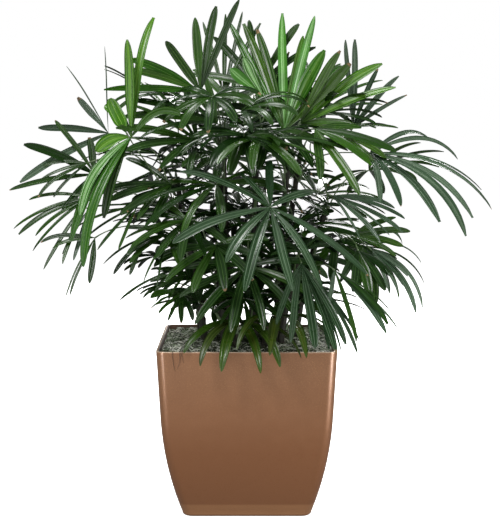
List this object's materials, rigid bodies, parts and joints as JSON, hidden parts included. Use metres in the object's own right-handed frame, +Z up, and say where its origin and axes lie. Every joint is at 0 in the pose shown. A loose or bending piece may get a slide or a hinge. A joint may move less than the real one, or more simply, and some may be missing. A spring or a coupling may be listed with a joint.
{
  "type": "potted lady palm",
  "caption": "Clump of slender dark canes with fan-shaped fronds of narrow blunt leaflets, in a square tapered planter topped with grey-green moss.",
  "frame": {"origin": "middle of the planter's flat underside, on the floor", "axes": "+Z up, +X to the right and -Y to the front, square to the planter's sides"},
  "size_m": [0.9711, 0.9316, 1.0523],
  "materials": {
    "planter": "satin bronze paint with a fine metallic speckle",
    "root_ball": "dark potting mix",
    "moss": "curly dry moss strands",
    "cane": "dark fibrous sheaths",
    "leaf": "pleated satin leaf"
  },
  "bodies": {
    "root": {"planter": "planter", "root_ball": "root_ball", "moss": "moss", "cane_01": "cane", "cane_02": "cane", "cane_03": "cane", "cane_04": "cane", "cane_05": "cane", "cane_06": "cane", "cane_07": "cane", "cane_08": "cane", "cane_09": "cane", "cane_10": "cane", "cane_11": "cane", "cane_12": "cane", "cane_13": "cane", "cane_14": "cane", "frond_01": "leaf", "frond_02": "leaf", "frond_03": "leaf", "frond_04": "leaf", "frond_05": "leaf", "frond_06": "leaf", "frond_07": "leaf", "frond_08": "leaf", "frond_09": "leaf", "frond_10": "leaf", "frond_11": "leaf", "frond_12": "leaf", "frond_13": "leaf", "frond_14": "leaf", "frond_15": "leaf", "frond_16": "leaf", "frond_17": "leaf", "frond_18": "leaf", "frond_19": "leaf", "frond_20": "leaf", "frond_21": "leaf", "frond_22": "leaf", "frond_23": "leaf", "frond_24": "leaf", "frond_25": "leaf", "frond_26": "leaf", "frond_27": "leaf", "frond_28": "leaf", "frond_29": "leaf", "frond_30": "leaf", "frond_31": "leaf", "frond_32": "leaf", "frond_33": "leaf", "frond_34": "leaf", "frond_35": "leaf", "frond_36": "leaf", "frond_37": "leaf", "frond_38": "leaf", "frond_39": "leaf", "frond_40": "leaf", "frond_41": "leaf", "frond_42": "leaf", "frond_43": "leaf"}
  },
  "joints": []
}
